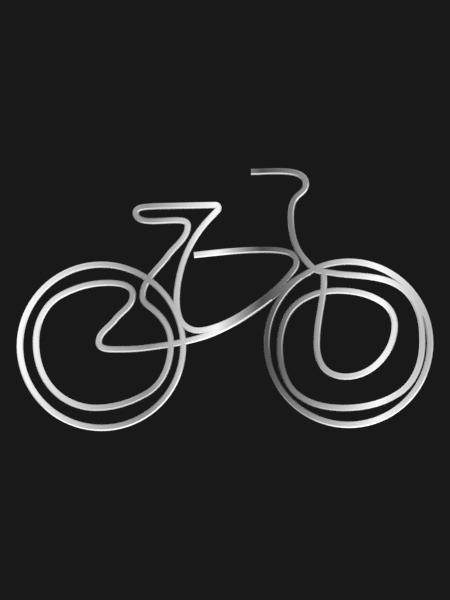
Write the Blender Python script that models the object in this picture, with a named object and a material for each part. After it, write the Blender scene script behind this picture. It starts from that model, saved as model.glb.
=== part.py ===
"""A bicycle drawn in flat-faced metal bar, as an ornament that hangs just off a wall.

The figure faces -Y. +X runs from the rear wheel to the front wheel and +Z is up. The origin
is on the wall, on the axis of the stand-off behind the bottom bracket.

Every bar follows a route in the XZ plane. Where two bars cross, merge or are spliced, one of
them keeps its front half and the other keeps its back half, so that the faces finish flush.
The bar that passes behind is scribed over the bevelled arris of the one in front.
"""

import math

import bmesh
import bpy
import numpy as np
from mathutils import Matrix, Vector
from mathutils.geometry import interpolate_bezier, intersect_line_line_2d

MM = 0.001

# The square bar
BAR_WIDTH = 6.0 * MM
BAR_DEPTH = 6.0 * MM
ARRIS = 1.1 * MM  # bevel along both front edges

# Joints
SEAM = 0.3 * MM  # clearance between bars that meet
SPLICE = 10.0 * MM  # length of the half-lap where one bar follows another
STRAND_SWING = 18.2  # degrees of the front rim from the crown back to the down tube's strand
STRAND_TONGUE = 14.0  # degrees of the front rim that the down tube's tongue follows
FORK_TONGUE = 2.6 * MM  # how far the fork runs in behind the bar above it

# Wheels, measured on the centreline of each rim
RIM_RADIUS = 81.7 * MM
REAR_REACH = 28.9 * MM  # from the rear rim to the bottom bracket
FRONT_REACH = 55.0 * MM  # from the bottom bracket to the front rim
BRACKET_RISE = 15.3 * MM  # bottom bracket above the rear hub
FRONT_RISE = 3.0 * MM  # front hub above the rear hub

# Frame, measured from the bottom bracket
STRAND_OFFSET = 3.5 * MM  # between the two strands of the down tube
SEAT_BACK = 35.4 * MM  # rearmost reach of the seat tube
SEAT_SLOPE = 46.0  # degrees, at the top of the seat tube
SADDLE_HEIGHT = 126.1 * MM  # centreline of the saddle's top bar, at the nose
SADDLE_NOSE = 10.7 * MM  # where the centrelines of saddle and seat tube meet
SADDLE_TAIL = 76.3 * MM  # rear end of the saddle
SADDLE_DEPTH = 15.8 * MM  # between the saddle's top and bottom bars
STAY_BACK = 24.2 * MM  # bend at the top of the seat stay
NOSE_RADIUS = 6.0 * MM
TOP_TUBE_END = 18.0 * MM  # free end of the top tube, behind the bottom bracket

# Steering, measured from the crown, where the stem crosses the front rim
CROWN_CLOCK = 114.3  # degrees round the front rim
TOP_TUBE_RISE = 19.0 * MM  # top tube above the crown
STEM_BACK = 24.2 * MM  # rearmost reach of the stem
STEM_RISE = 52.4 * MM  # height of that reach
BAR_END = 64.0 * MM  # free end of the handlebar
BAR_RISE = 97.7 * MM  # handlebar above the crown
GRIP_BEND = 9.0 * MM  # foremost reach of the handlebar's bend
HEAD_BEND = 18.1 * MM  # foremost reach of the top tube's bend

# Wall stand-offs, M3 at both ends
STAND_OFF = 12.0 * MM
PILLAR_DIAMETER = 5.0 * MM
SPIGOT_DIAMETER = 3.0 * MM
SPIGOT_LENGTH = 3.6 * MM
SOCKET_DIAMETER = 2.5 * MM
SOCKET_DEPTH = 8.0 * MM
PILLAR_CLOCK = 45.0  # degrees from the bottom of each rim to its stand-off
PILLAR_BEVEL = 0.4 * MM

# Countersunk lap screws, M2
SCREW_DIAMETER = 2.0 * MM
SCREW_HEAD = 3.8 * MM
SCREW_SUNK = 0.2 * MM  # head below the back face
SCREW_LENGTH = 4.6 * MM

# Smoothness
TURN_STEP = 5.0  # degrees of bend between two sections
LONGEST_STEP = 9.0 * MM
ROUND_STEPS = 12
RIM_STEPS = 80
SHARP = math.radians(30)
WELD = 0.001 * MM

# Depths in a bar, measured forward from its back face
MIDDLE = BAR_DEPTH / 2
OVERRUN = 2.0 * MM  # by which a cutter clears the faces

METAL = {
    "polished_bar": ((0.80, 0.80, 0.81), 1.0, 0.22),
    "stainless": ((0.56, 0.57, 0.58), 1.0, 0.35),
}

# These cross, and are screwed together where they do
CROSSED = (
    ("rear_rim", "chainstay", "rim_chainstay"),
    ("rear_rim", "seat_stay", "rim_seat_stay"),
    ("rear_inner_loop", "chainstay", "loop_chainstay"),
    ("front_rim", "stem", "crown"),
    ("front_inner_loop", "fork_blade", "fork"),
)

# Where two of these meet, the one named earlier keeps its front half
FRONT_TO_BACK = (
    "rear_rim",
    "front_rim",
    "down_tube",
    "lower_strand",
    "stem",
    "fork_blade",
    "front_outer_loop",
    "front_inner_loop",
    "rear_inner_loop",
    "saddle",
    "chainstay",
    "seat_tube",
    "seat_stay",
    "top_tube",
    "handlebar",
)


def direction(heading):
    angle = math.radians(heading)
    return Vector((math.cos(angle), math.sin(angle)))


def on_wheel(hub, clock, inset=0.0):
    """The point at this clock angle, this many millimetres inside the rim's centreline."""
    return hub + (RIM_RADIUS - inset * MM) * direction(clock)


def shift(point, across, up):
    """The point moved this many millimetres."""
    return point + Vector((across, up)) * MM


# Points that several bars share
BRACKET = Vector((0.0, 0.0))
REAR_HUB = Vector((-RIM_RADIUS - REAR_REACH, -BRACKET_RISE))
FRONT_HUB = Vector((RIM_RADIUS + FRONT_REACH, FRONT_RISE - BRACKET_RISE))
CROWN = on_wheel(FRONT_HUB, CROWN_CLOCK)
STRAND_CLOCK = CROWN_CLOCK + STRAND_SWING
NOSE = Vector((SADDLE_NOSE, SADDLE_HEIGHT))

# The down tube, from the bottom bracket to the head
DOWN_TUBE = (
    (shift(BRACKET, 21.6, 11.7), 28),
    (shift(CROWN, -61.1, -37.6), 34),
    (shift(CROWN, -46.8, -27.2), 38.5),
)


# Routes. Each is drawn through (point, heading) anchors, with headings in degrees
# anticlockwise from +X.


def lower_anchors():
    """Down the down tube's lower strand, along the chainstay, round the rear wheel, and up the
    seat stay into the saddle."""
    strand = [
        (on_wheel(FRONT_HUB, STRAND_CLOCK - STRAND_TONGUE, 0.6), 205),
        (on_wheel(FRONT_HUB, STRAND_CLOCK, -1.5), 216),
    ]
    for point, heading in reversed(DOWN_TUBE):
        strand.append((point + STRAND_OFFSET * direction(heading - 90), heading + 180))
    stay = [
        (shift(BRACKET, -7.4, -5.3), 198),
        (shift(REAR_HUB, 41.8, -1.9), 187),
        (shift(REAR_HUB, 12.4, -3.1), 180),
        (shift(REAR_HUB, -2.8, 3.9), 90),
        (shift(REAR_HUB, 13.4, 26.3), 53),
    ]
    loop = [
        (on_wheel(REAR_HUB, 58.5, 21.6), 90),
        (on_wheel(REAR_HUB, 84.5, 17.9), 180),
        (on_wheel(REAR_HUB, 128.5, 16.4), 209),
        (on_wheel(REAR_HUB, 176.5, 15.9), 270),
        (on_wheel(REAR_HUB, 216.5, 16.6), 307),
        (on_wheel(REAR_HUB, 265.0, 19.7), 0),
        (on_wheel(REAR_HUB, 313.5, 16.3), 30),
        (on_wheel(REAR_HUB, 2.5, 12.1), 90),
        (on_wheel(REAR_HUB, 38.5, 19.1), 143),
        (on_wheel(REAR_HUB, 50.5, 17.4), 90),
    ]
    bend = Vector((-STAY_BACK, SADDLE_HEIGHT - SADDLE_DEPTH))
    tail = Vector((-SADDLE_TAIL, SADDLE_HEIGHT - SADDLE_DEPTH / 2))
    saddle = [
        (shift(bend, -19.5, -34.6), 55),
        (shift(bend, 0.0, -4.9), 90),
        (shift(bend, -12.2, 0.6), 180),
        (Vector((tail.x + 17.4 * MM, bend.y - 0.3 * MM)), 180),
        (tail, 90),
        (Vector((tail.x + 11.1 * MM, NOSE.y - 1.9 * MM)), 5),
        (shift(NOSE, -56.0, -1.1), 1),
        (shift(NOSE, -21.0, -0.3), 1),
        (NOSE, 1),
    ]
    return strand + stay + loop + saddle


def upper_anchors():
    """Down the seat tube, up the down tube's upper strand, and round into the top tube."""
    fall = SEAT_SLOPE + 180
    top = CROWN + Vector((0.0, TOP_TUBE_RISE))
    return [
        (NOSE, fall),
        (NOSE + 19.0 * MM * direction(fall), fall),
        (shift(BRACKET, -15.9, 95.6), 237),
        (shift(BRACKET, -30.0, 65.4), 254),
        (Vector((-SEAT_BACK, 32.8 * MM)), 270),
        (on_wheel(REAR_HUB, 20.5, -1.2), 290),
        (on_wheel(REAR_HUB, 15.1, -3.0), 314),
        (shift(BRACKET, -14.0, 0.3), 0),
        (shift(BRACKET, 0.0, 2.7), 16),
        *DOWN_TUBE,
        (shift(CROWN, -41.0, -22.2), 41),
        (shift(CROWN, -24.6, -5.3), 51),
        (top + Vector((-HEAD_BEND, -12.1 * MM)), 90),
        (shift(top, -27.0, -2.4), 164),
        (shift(top, -52.9, 0.0), 180),
        (Vector((-TOP_TUBE_END, top.y - 5.2 * MM)), 186),
    ]


def past_crown(turned, inset, lean):
    """An anchor on the front wheel, this many degrees clockwise from the crown. Its heading
    leans this many degrees outward from the rim's."""
    clock = CROWN_CLOCK - turned
    return on_wheel(FRONT_HUB, clock, inset), clock - 90 + lean


def front_anchors():
    """Down from the handlebar's free end, round the front wheel twice, and up the fork."""
    grip = CROWN + Vector((0.0, BAR_RISE))
    return [
        (grip + Vector((-BAR_END, -0.7 * MM)), 0),
        (shift(grip, -40.4, 0.0), 0),
        (grip + Vector((-GRIP_BEND, -13.1 * MM)), 270),
        (shift(grip, -16.4, -23.6), 219),
        (CROWN + Vector((-STEM_BACK, STEM_RISE)), 270),
        (shift(CROWN, -17.3, 19.3), 297),
        (shift(CROWN, -5.0, 3.7), 312),
        past_crown(0.4, 1.5, -47),
        past_crown(8.9, 8.2, -26.4),
        past_crown(40.5, 12.2, 9.2),
        past_crown(53.3, 8.8, 14),
        past_crown(66.3, 5.3, 9),
        past_crown(77.3, 4.1, 0),
        past_crown(88.8, 4.9, -2.5),
        past_crown(113.3, 7.7, -1),
        past_crown(159.3, 10.7, -12),
        past_crown(208.8, 16.6, 4.5),
        past_crown(247.3, 9.4, 7),
        past_crown(291.8, 12.8, -2.5),
        past_crown(313.3, 14.0, -1),
        past_crown(372.8, 27.9, -11.5),
        past_crown(423.3, 28.6, 6),
        past_crown(453.3, 32.1, -21),
        past_crown(500.8, 45.0, -14.5),
        past_crown(568.8, 48.1, 4.5),
        past_crown(612.3, 47.0, -6),
        past_crown(653.8, 49.8, -0.5),
        (shift(CROWN, 8.8, -18.6), 84),
        (shift(CROWN, 9.0, -8.7), 90),
        (Vector((CROWN.x + 9.0 * MM, CROWN.y - 5.6 * MM + FORK_TONGUE)), 90),
    ]


def handles(start, heading_in, end, heading_out):
    """Handle lengths that bend one Bezier stretch as evenly as an arc."""
    chord = end - start
    slope = math.atan2(chord.y, chord.x)
    a = math.remainder(math.radians(heading_in) - slope, math.tau)
    b = math.remainder(slope - math.radians(heading_out), math.tau)
    skew = math.sqrt(2) * (math.sin(a) - math.sin(b) / 16) * (math.sin(b) - math.sin(a) / 16)
    skew *= math.cos(a) - math.cos(b)
    near = 1.5 * (math.sqrt(5) - 1)
    far = 1.5 * (3 - math.sqrt(5))
    leave = 3 + near * math.cos(a) + far * math.cos(b)
    arrive = 3 + near * math.cos(b) + far * math.cos(a)
    return chord.length * (2 + skew) / leave, chord.length * (2 - skew) / arrive


def turn(p, q, r):
    """Degrees of bend at q."""
    return abs(math.degrees((q - p).angle_signed(r - q, 0.0)))


class Route:
    """A run of points, with the distance along it of every point and every anchor."""

    def __init__(self, points, marks=()):
        self.points = points
        self.along = [0.0]
        for p, q in zip(points, points[1:]):
            self.along.append(self.along[-1] + (q - p).length)
        self.length = self.along[-1]
        self.marks = [self.along[index] for index in marks]

    def at(self, distance):
        """The point this far along. Beyond either end the route runs straight on."""
        last = len(self.points) - 2
        index = next((i for i in range(last) if self.along[i + 1] > distance), last)
        way = (self.points[index + 1] - self.points[index]).normalized()
        return self.points[index] + (distance - self.along[index]) * way

    def between(self, start, end):
        known = zip(self.points, self.along)
        inside = [point for point, distance in known if start + SEAM < distance < end - SEAM]
        return [self.at(start), *inside, self.at(end)]

    def gap(self, spot):
        """How far a spot is from this route."""
        starts = np.array(self.points[:-1])
        ways = np.array(self.points[1:]) - starts
        here = np.array(spot) - starts
        share = np.clip((here * ways).sum(1) / (ways * ways).sum(1), 0, 1)
        return np.linalg.norm(here - share[:, None] * ways, axis=1).min()

    def near(self, other):
        """Runs (start, end) of this route that come within a bar's width of another."""
        runs = []
        for count in range(int(self.length / MM) + 1):
            distance = count * MM
            if other.gap(self.at(distance)) > BAR_WIDTH + SEAM:
                continue
            if runs and distance - runs[-1][1] < BAR_WIDTH:
                runs[-1][1] = distance
            else:
                runs.append([distance, distance])
        return runs

    def crossings(self, other):
        found = []
        for p, q in zip(self.points, self.points[1:]):
            for r, s in zip(other.points, other.points[1:]):
                met = intersect_line_line_2d(p, q, r, s)
                if met:
                    found.append(met)
        return found


def trace(anchors):
    points = [anchors[0][0]]
    marks = [0]
    for (start, heading_in), (end, heading_out) in zip(anchors, anchors[1:]):
        leave, arrive = handles(start, heading_in, end, heading_out)
        first = start + leave * direction(heading_in)
        last = end - arrive * direction(heading_out)
        fine = [p.to_2d() for p in interpolate_bezier(start, first, last, end, 33)]
        length = sum((q - p).length for p, q in zip(fine, fine[1:]))
        bend = sum(turn(p, q, r) for p, q, r in zip(fine, fine[1:], fine[2:]))
        steps = math.ceil(max(bend / TURN_STEP, length / LONGEST_STEP))
        stretch = interpolate_bezier(start, first, last, end, steps + 1)
        points += [p.to_2d() for p in stretch[1:]]
        marks.append(len(points) - 1)
    return Route(points, marks)


def rim(hub):
    """A full turn from the bottom of the wheel."""
    step = 360 / RIM_STEPS
    return Route([on_wheel(hub, index * step - 90) for index in range(RIM_STEPS + 1)])


# Sections, drawn clockwise as (across, depth) pairs


def bar_section():
    side = BAR_WIDTH / 2
    half = [(side, BAR_DEPTH - ARRIS), (side, 0.0)]
    left = [(-side, 0.0), (-side, BAR_DEPTH - ARRIS), (ARRIS - side, BAR_DEPTH)]
    return [*left, (side - ARRIS, BAR_DEPTH), *half]


def front_housing():
    """What the bar in front takes out of the one behind, scribed over its bevel."""
    side = BAR_WIDTH / 2 + SEAM
    slope = BAR_DEPTH - ARRIS + SEAM * math.tan(math.radians(22.5))
    face = side - ARRIS - SEAM + SEAM * math.sqrt(2)
    bottom = MIDDLE - SEAM / 2
    top = BAR_DEPTH + OVERRUN
    right = [(face, top), (face, BAR_DEPTH), (side, slope), (side, bottom)]
    return [(-x, y) for x, y in reversed(right)] + right


def rectangle(side, bottom, top):
    return [(-side, bottom), (-side, top), (side, top), (side, bottom)]


def back_housing():
    """What the bar behind takes out of the one in front."""
    return rectangle(BAR_WIDTH / 2 + SEAM, -OVERRUN, MIDDLE + SEAM / 2)


def half_off(kept):
    """What an end lap takes off a bar that keeps its front or back half."""
    side = BAR_WIDTH / 2 + OVERRUN / 2
    if kept == "front":
        return rectangle(side, -OVERRUN, MIDDLE + SEAM / 2)
    return rectangle(side, MIDDLE - SEAM / 2, BAR_DEPTH + OVERRUN)


# Solids. Each is drawn flat, with depth along local Z, and stood up to face -Y.


def clear_scene():
    for found in list(bpy.data.objects):
        bpy.data.objects.remove(found, do_unlink=True)
    for found in list(bpy.data.collections):
        bpy.data.collections.remove(found)


def new_collection(name):
    collection = bpy.data.collections.new(name)
    bpy.context.scene.collection.children.link(collection)
    return collection


def metal(name):
    found = bpy.data.materials.get(name)
    if found:
        return found
    colour, metallic, roughness = METAL[name]
    material = bpy.data.materials.new(name)
    material.use_nodes = True
    shader = material.node_tree.nodes["Principled BSDF"]
    shader.inputs["Base Color"].default_value = (*colour, 1.0)
    shader.inputs["Metallic"].default_value = metallic
    shader.inputs["Roughness"].default_value = roughness
    return material


def stand_up(name, mesh, foot, collection, look):
    """Turns a flat-drawn mesh upright and places its zero depth at this point of the room."""
    mesh.transform(UPRIGHT)
    obj = bpy.data.objects.new(name, mesh)
    obj.location = foot
    collection.objects.link(obj)
    if look:
        for face in mesh.polygons:
            face.use_smooth = True
        mesh.set_sharp_from_angle(angle=SHARP)
        mesh.materials.append(metal(look))
    else:
        obj.display_type = "WIRE"
        obj.hide_render = True
    return obj


BAR_FOOT = (0.0, -STAND_OFF, 0.0)
UPRIGHT = Matrix(((1, 0, 0, 0), (0, 0, -1, 0), (0, 1, 0, 0), (0, 0, 0, 1)))


def flat_curve(name, points, cyclic):
    curve = bpy.data.curves.new(name, "CURVE")
    curve.dimensions = "2D"
    curve.fill_mode = "NONE"
    spline = curve.splines.new("POLY")
    spline.points.add(len(points) - 1)
    for knot, (x, y) in zip(spline.points, points):
        knot.co = (x, y, 0.0, 1.0)
    spline.use_cyclic_u = cyclic
    obj = bpy.data.objects.new(name, curve)
    bpy.context.scene.collection.objects.link(obj)
    return obj


def sweep(name, points, section, collection, look=None, closed=False):
    """A solid with this section along these points."""
    guide = flat_curve(name + "_guide", points[:-1] if closed else points, closed)
    shape = flat_curve(name + "_section", section, True)
    guide.data.bevel_mode = "OBJECT"
    guide.data.bevel_object = shape
    guide.data.use_fill_caps = True
    graph = bpy.context.evaluated_depsgraph_get()
    mesh = bpy.data.meshes.new_from_object(guide.evaluated_get(graph))
    mesh.name = name
    for helper in (guide, shape):
        data = helper.data
        bpy.data.objects.remove(helper, do_unlink=True)
        bpy.data.curves.remove(data)
    bm = bmesh.new()
    bm.from_mesh(mesh)
    for knot in bm.verts:
        knot.co.z = min((depth for _, depth in section), key=lambda z: abs(z - knot.co.z))
    bmesh.ops.remove_doubles(bm, verts=bm.verts, dist=WELD)
    bmesh.ops.recalc_face_normals(bm, faces=bm.faces)
    bm.to_mesh(mesh)
    bm.free()
    return stand_up(name, mesh, BAR_FOOT, collection, look)


def turned(name, outline, spots, foot, collection, look=None):
    """Solids of revolution at these spots, from an outline of (radius, depth) pairs."""
    bm = bmesh.new()
    for x, y in spots:
        knots = [bm.verts.new((x + radius, y, depth)) for radius, depth in outline]
        edges = [bm.edges.new(pair) for pair in zip(knots, knots[1:])]
        bmesh.ops.spin(
            bm,
            geom=knots + edges,
            cent=(x, y, 0.0),
            axis=(0.0, 0.0, 1.0),
            angle=math.tau,
            steps=ROUND_STEPS,
            use_merge=True,
        )
    bmesh.ops.remove_doubles(bm, verts=bm.verts, dist=WELD)
    bmesh.ops.recalc_face_normals(bm, faces=bm.faces)
    mesh = bpy.data.meshes.new(name)
    bm.to_mesh(mesh)
    bm.free()
    return stand_up(name, mesh, foot, collection, look)


def nose_outline(tail, leg):
    """A mitred strip from the tail, round the nose's corner and down the leg, with its outer
    corner rounded."""
    side = BAR_WIDTH / 2
    across = (tail - NOSE).normalized()
    down = (leg - NOSE).normalized()
    outward = -(across + down).normalized()
    half_angle = across.angle(down) / 2
    inner = NOSE - side / math.sin(half_angle) * outward
    centre = NOSE + (side - NOSE_RADIUS) / math.sin(half_angle) * outward
    upward = (outward - outward.dot(across) * across).normalized()
    forward = (outward - outward.dot(down) * down).normalized()
    sweep_angle = upward.angle(forward)
    points = [tail + side * upward]
    steps = math.ceil(math.degrees(sweep_angle) / (2 * TURN_STEP))
    for step in range(steps + 1):
        angle = upward.angle_signed(Vector((1.0, 0.0))) - sweep_angle * step / steps
        points.append(centre + NOSE_RADIUS * direction(math.degrees(angle)))
    points += [leg + side * forward, leg - side * forward, inner, tail - side * upward]
    return points


def plate(name, outline, collection, look):
    """A plate as thick as the bars, bevelled along its front edges but not across its ends."""
    bm = bmesh.new()
    bottom = bm.faces.new([bm.verts.new((x, y, 0.0)) for x, y in outline])
    grown = bmesh.ops.extrude_face_region(bm, geom=[bottom])["geom"]
    top = [item for item in grown if isinstance(item, bmesh.types.BMVert)]
    bmesh.ops.translate(bm, verts=top, vec=(0.0, 0.0, BAR_DEPTH))
    ends = ((outline[0], outline[-1]), (outline[-3], outline[-4]))
    middles = [(p + q) / 2 for p, q in ends]
    edges = []
    for edge in bm.edges:
        middle = (edge.verts[0].co + edge.verts[1].co) / 2
        at_end = any((middle.to_2d() - found).length < ARRIS for found in middles)
        if min(knot.co.z for knot in edge.verts) > MIDDLE and not at_end:
            edges.append(edge)
    bmesh.ops.bevel(
        bm, geom=edges, offset=ARRIS, segments=1, profile=0.5, affect="EDGES", material=-1
    )
    bmesh.ops.recalc_face_normals(bm, faces=bm.faces)
    mesh = bpy.data.meshes.new(name)
    bm.to_mesh(mesh)
    bm.free()
    return stand_up(name, mesh, BAR_FOOT, collection, look)


def cuts(obj):
    """The collection of everything that is cut from this object."""
    name = "cuts_" + obj.name
    group = bpy.data.collections.get(name)
    if not group:
        group = bpy.data.collections.new(name)
        bpy.data.collections["cutters"].children.link(group)
    return group


def boolean(obj, operation, other):
    """Joins another object on, or cuts away all the objects of a collection."""
    modifier = obj.modifiers.new(other.name, "BOOLEAN")
    modifier.operation = operation
    modifier.solver = "EXACT"
    if isinstance(other, bpy.types.Collection):
        modifier.operand_type = "COLLECTION"
        modifier.collection = other
    else:
        modifier.object = other


# Assembly


class Bar:
    """One bar with its route, the solid that it is part of, and its end laps."""

    def __init__(self, name, route, obj):
        self.name = name
        self.route = route
        self.obj = obj
        self.laps = []
        self.spliced = []


def cut_line(line, names, splices, parts, cutters):
    """Cuts one line into bars. Each splice is (distance, the bar that keeps its front half, its
    screw), and there may be one more at either end of the line, to a piece that isn't a bar."""
    bars = []
    half = SPLICE / 2
    for place, name in enumerate(names):
        tips = []
        laps = []
        spliced = []
        for inward, splice in ((1, splices[place]), (-1, splices[place + 1])):
            if not splice:
                tips.append(0.0 if inward == 1 else line.length)
                continue
            distance, front, _ = splice
            spliced.append(line.at(distance))
            seam = 0.0 if front == name else SEAM
            tip = distance - inward * (half - seam)
            shoulder = distance + inward * (half + seam)
            tips.append(tip)
            beyond = tip - inward * OVERRUN
            kept = "front" if front == name else "back"
            laps.append((line.between(min(beyond, shoulder), max(beyond, shoulder)), kept))
        route = Route(line.between(*tips))
        if name == "lower_strand":
            obj = sweep(name, route.points, bar_section(), cutters)
        else:
            obj = sweep(name, route.points, bar_section(), parts, "polished_bar")
        bar = Bar(name, route, obj)
        bar.laps = laps
        bar.spliced = spliced
        bars.append(bar)
    return bars


def housings(bar, other):
    """Stretches of another bar's route that this bar makes room for."""
    shared = [place for place in bar.spliced if place in other.spliced]
    for start, end in other.route.near(bar.route):
        at_end = start < MM or end > other.route.length - 2 * MM
        if at_end and shared:
            continue
        first = max(start - BAR_WIDTH, -SEAM)
        last = min(end + BAR_WIDTH, other.route.length + SEAM)
        yield other.route.between(first, last)


def lap_where_they_meet(bars):
    """Halves every two bars into each other."""
    order = sorted(bars, key=lambda bar: FRONT_TO_BACK.index(bar.name))
    for place, front in enumerate(order):
        for back in order[place + 1 :]:
            if front.obj is back.obj:
                continue
            pairs = ((front, back, back_housing()), (back, front, front_housing()))
            for bar, other, section in pairs:
                for number, points in enumerate(housings(bar, other), 1):
                    label = f"{bar.name}_for_{other.name}_{number}"
                    sweep(label, points, section, cuts(bar.obj))


def screw_outline(room):
    """A countersunk screw, or with room round it the hole that it goes in."""
    flank = SCREW_HEAD / 2 + room * math.sqrt(2)
    shank = SCREW_DIAMETER / 2 + room
    cone = SCREW_SUNK + flank - shank
    tip = SCREW_LENGTH + room
    if room:
        mouth = [(0.0, -OVERRUN), (flank, -OVERRUN)]
    else:
        mouth = [(0.0, SCREW_SUNK)]
    return [*mouth, (flank, SCREW_SUNK), (shank, cone), (shank, tip), (0.0, tip)]


def pillar_outline():
    radius = PILLAR_DIAMETER / 2
    spigot = SPIGOT_DIAMETER / 2
    socket = SOCKET_DIAMETER / 2
    front = STAND_OFF - SEAM
    hole = [(0.0, SOCKET_DEPTH), (socket, SOCKET_DEPTH), (socket, 0.0)]
    rear = [(radius - PILLAR_BEVEL, 0.0), (radius, PILLAR_BEVEL)]
    face = [(radius, front - PILLAR_BEVEL), (radius - PILLAR_BEVEL, front)]
    tip = front + SPIGOT_LENGTH
    return [*hole, *rear, *face, (spigot, front), (spigot, tip), (0.0, tip)]


def spigot_hole_outline():
    radius = SPIGOT_DIAMETER / 2 + SEAM
    return [(0.0, -OVERRUN), (radius, -OVERRUN), (radius, SPIGOT_LENGTH), (0.0, SPIGOT_LENGTH)]


def main():
    clear_scene()
    parts = new_collection("bicycle_ornament")
    cutters = new_collection("cutters")
    lower = trace(lower_anchors())
    upper = trace(upper_anchors())
    front = trace(front_anchors())

    bars = []
    for name, hub in (("rear_rim", REAR_HUB), ("front_rim", FRONT_HUB)):
        route = rim(hub)
        solid = sweep(name, route.points, bar_section(), parts, "polished_bar", closed=True)
        bars.append(Bar(name, route, solid))

    lower_splices = [
        None,
        (lower.marks[5] + 10.0 * MM, "lower_strand", "chainstay_front"),
        (lower.marks[9], "rear_inner_loop", "chainstay_rear"),
        (lower.marks[18], "rear_inner_loop", "seat_stay_foot"),
        (lower.marks[22] + 10.0 * MM, "saddle", "seat_stay_top"),
        (lower.marks[27] + 3.0 * MM, "saddle_nose", "saddle_front"),
    ]
    names = ("lower_strand", "chainstay", "rear_inner_loop", "seat_stay", "saddle")
    bars += cut_line(lower, names, lower_splices, parts, cutters)

    upper_splices = [
        (upper.marks[0] + 14.0 * MM, "saddle_nose", "seat_tube_top"),
        (upper.marks[7] - 3.5 * MM, "down_tube", "seat_tube_foot"),
        (upper.marks[13] + 2.0 * MM, "down_tube", "top_tube"),
        None,
    ]
    names = ("seat_tube", "down_tube", "top_tube")
    bars += cut_line(upper, names, upper_splices, parts, cutters)

    front_splices = [
        None,
        (front.marks[4], "stem", "handlebar"),
        (front.marks[8] + 16.0 * MM, "stem", "outer_loop"),
        (front.marks[18], "front_outer_loop", "inner_loop"),
        (front.marks[24], "front_inner_loop", "fork_foot"),
        None,
    ]
    names = ("handlebar", "stem", "front_outer_loop", "front_inner_loop", "fork_blade")
    bars += cut_line(front, names, front_splices, parts, cutters)
    named = {bar.name: bar for bar in bars}

    # The down tube's two strands are one plate.
    tube = named["down_tube"].obj
    lower_strand = named["lower_strand"].obj
    named["lower_strand"].obj = tube

    for bar in bars:
        for number, (points, kept) in enumerate(bar.laps, 1):
            sweep(f"{bar.name}_end_lap_{number}", points, half_off(kept), cuts(bar.obj))
    lap_where_they_meet(bars)

    # The corner plate at the saddle's nose keeps its front half at both ends.
    half = SPLICE / 2
    tail = lower_splices[-1][0] - half
    leg = upper_splices[0][0] + half
    outline = nose_outline(lower.at(tail), upper.at(leg))
    nose = plate("saddle_nose", outline, parts, "polished_bar")
    tail_lap = lower.between(tail - OVERRUN, tail + SPLICE)
    leg_lap = upper.between(leg - SPLICE, leg + OVERRUN)
    sweep("saddle_nose_end_lap_1", tail_lap, half_off("front"), cuts(nose))
    sweep("saddle_nose_end_lap_2", leg_lap, half_off("front"), cuts(nose))

    # Screws go in from behind: one at every splice and crossing, one where the seat tube touches
    # the rear rim, and one where the down tube's tongue lies behind the front rim.
    spots = {
        "seat_tube": on_wheel(REAR_HUB, 17.5, -0.4),
        "down_tube": on_wheel(FRONT_HUB, STRAND_CLOCK - STRAND_TONGUE / 2, -0.2),
    }
    for line, splices in ((lower, lower_splices), (upper, upper_splices), (front, front_splices)):
        for splice in filter(None, splices):
            spots[splice[2]] = line.at(splice[0])
    for one, other, name in CROSSED:
        for spot in named[one].route.crossings(named[other].route):
            if all((spot - place).length > SPLICE for place in named[one].spliced):
                spots[name] = spot
    for name, (x, y) in spots.items():
        foot = (x, -STAND_OFF, y)
        turned("screw_" + name, screw_outline(0.0), [(0.0, 0.0)], foot, parts, "stainless")
    routes = {bar.name: (bar.route, bar.obj) for bar in bars}
    routes["saddle_nose"] = (Route([lower.at(tail), NOSE, upper.at(leg)]), nose)
    for name, (route, obj) in routes.items():
        here = [spot for spot in spots.values() if route.gap(spot) < BAR_WIDTH / 2]
        if here:
            turned(name + "_screw_holes", screw_outline(SEAM), here, BAR_FOOT, cuts(obj))

    # Each pillar stands behind a plain stretch of one bar.
    pillars = {
        "standoff_bottom_bracket": ("down_tube", BRACKET),
        "standoff_rear_rim": ("rear_rim", on_wheel(REAR_HUB, 270 - PILLAR_CLOCK)),
        "standoff_front_rim": ("front_rim", on_wheel(FRONT_HUB, 270 + PILLAR_CLOCK)),
        "standoff_saddle": ("saddle", lower.at(lower.marks[26] + 8.0 * MM)),
        "standoff_stem": ("stem", front.at(front.marks[4] + 16.0 * MM)),
    }
    for name, (holder, spot) in pillars.items():
        foot = (spot.x, 0.0, spot.y)
        turned(name, pillar_outline(), [(0.0, 0.0)], foot, parts, "stainless")
        turned(name + "_hole", spigot_hole_outline(), [spot], BAR_FOOT, cuts(named[holder].obj))

    boolean(tube, "UNION", lower_strand)
    for obj in parts.objects:
        group = bpy.data.collections.get("cuts_" + obj.name)
        if group:
            boolean(obj, "DIFFERENCE", group)
            obj.modifiers.new("weld", "WELD").merge_threshold = WELD
    bpy.context.view_layer.update()


main()
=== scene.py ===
# %% [markdown]
# # A bicycle drawn in polished bar
#
# The object is a wall ornament: one flowing line of square metal bar that draws a bicycle seen
# from the side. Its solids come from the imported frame. This lesson gives them their finish, adds
# what a maker's hand leaves on such a piece, and lights it as a studio would.
#
# Lengths on the ornament are written in millimetres and turned into metres by one factor,
# because Blender and the frame both work in metres.

# %% The frame
import math

import bmesh
import bpy
from mathutils import Matrix, Vector, kdtree
from mathutils.geometry import interpolate_bezier


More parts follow.
